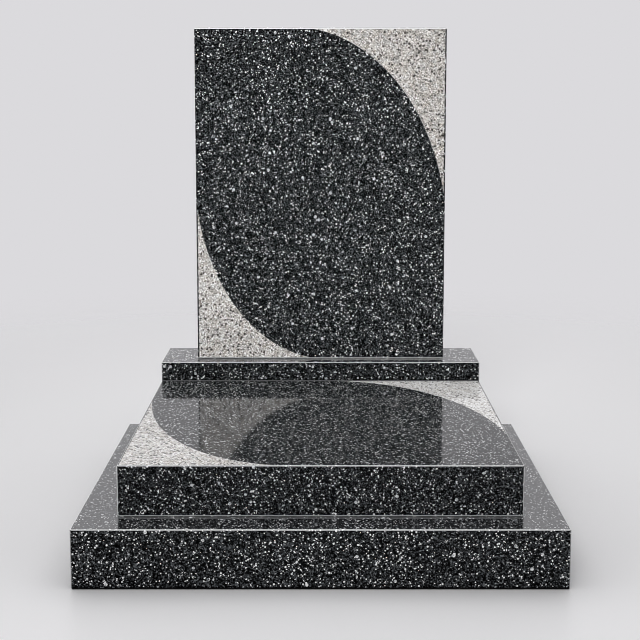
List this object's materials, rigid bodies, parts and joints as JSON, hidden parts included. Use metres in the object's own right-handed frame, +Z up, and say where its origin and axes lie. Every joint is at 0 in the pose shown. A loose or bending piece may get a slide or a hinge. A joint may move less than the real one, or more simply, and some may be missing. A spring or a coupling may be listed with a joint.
{
  "type": "headstone",
  "caption": "Modern polished granite headstone: an upright tablet on a plinth behind a low base and a lying slab, dark stone with light corners inlaid along curves.",
  "frame": {"origin": "on the ground, under the middle of the whole memorial's length and width", "axes": "+Z up, -Y towards the person who faces the tablet, +X to that person's right"},
  "size_m": [1.2, 1.2102, 1.3806],
  "materials": {
    "dark_granite": "polished, near-black with fine grey grain and white flecks",
    "light_granite": "polished, warm light grey with black specks"
  },
  "bodies": {
    "root": {"base": "dark_granite", "slab": "dark_granite", "plinth": "dark_granite", "tablet": "dark_granite", "slab_inlay_front": "light_granite", "slab_inlay_back": "light_granite", "tablet_inlay_upper": "light_granite", "tablet_inlay_lower": "light_granite"}
  },
  "joints": []
}
